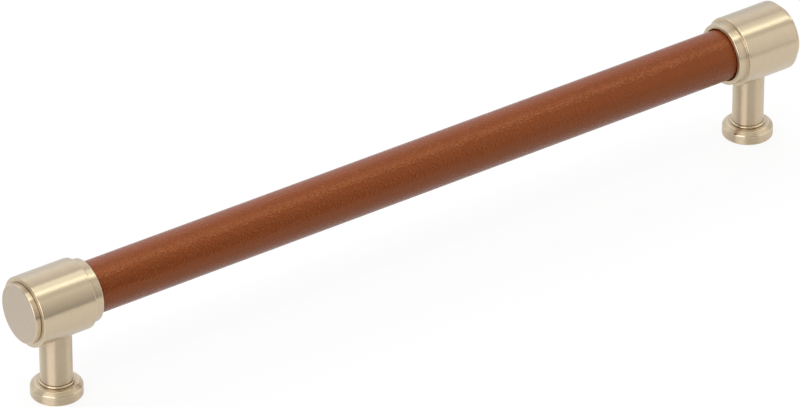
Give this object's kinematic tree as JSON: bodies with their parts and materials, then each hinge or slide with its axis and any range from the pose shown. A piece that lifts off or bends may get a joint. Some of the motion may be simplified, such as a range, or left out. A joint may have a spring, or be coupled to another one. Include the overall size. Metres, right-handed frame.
{
  "type": "leather wrapped bar pull",
  "caption": "Straight round bar pull: a leather sleeve on a core tube between stepped brass barrels, each on a turned post with a round foot.",
  "frame": {"origin": "on the door's face, midway between the axes of the two posts", "axes": "+X along the bar, towards the right-hand post; +Z out of the door, towards the bar; +Y across the bar"},
  "size_m": [0.3342, 0.0262, 0.0508],
  "materials": {
    "tan_leather": "smooth full-grain leather, waxed, with a fine grain",
    "satin_brass": "pale brass, brushed round the turned pieces and lacquered",
    "tube_steel": "plain drawn tube",
    "zinc_plated_steel": "bright zinc plating"
  },
  "bodies": {
    "root": {"leather_wrap": "tan_leather", "core_tube": "tube_steel", "tube_plug_left": "zinc_plated_steel", "tube_plug_right": "zinc_plated_steel", "barrel_left": "satin_brass", "barrel_right": "satin_brass", "end_cap_left": "satin_brass", "end_cap_right": "satin_brass", "clamp_screw_left": "zinc_plated_steel", "clamp_screw_right": "zinc_plated_steel", "post_left": "satin_brass", "post_right": "satin_brass", "post_stud_left": "zinc_plated_steel", "post_stud_right": "zinc_plated_steel"}
  },
  "joints": []
}
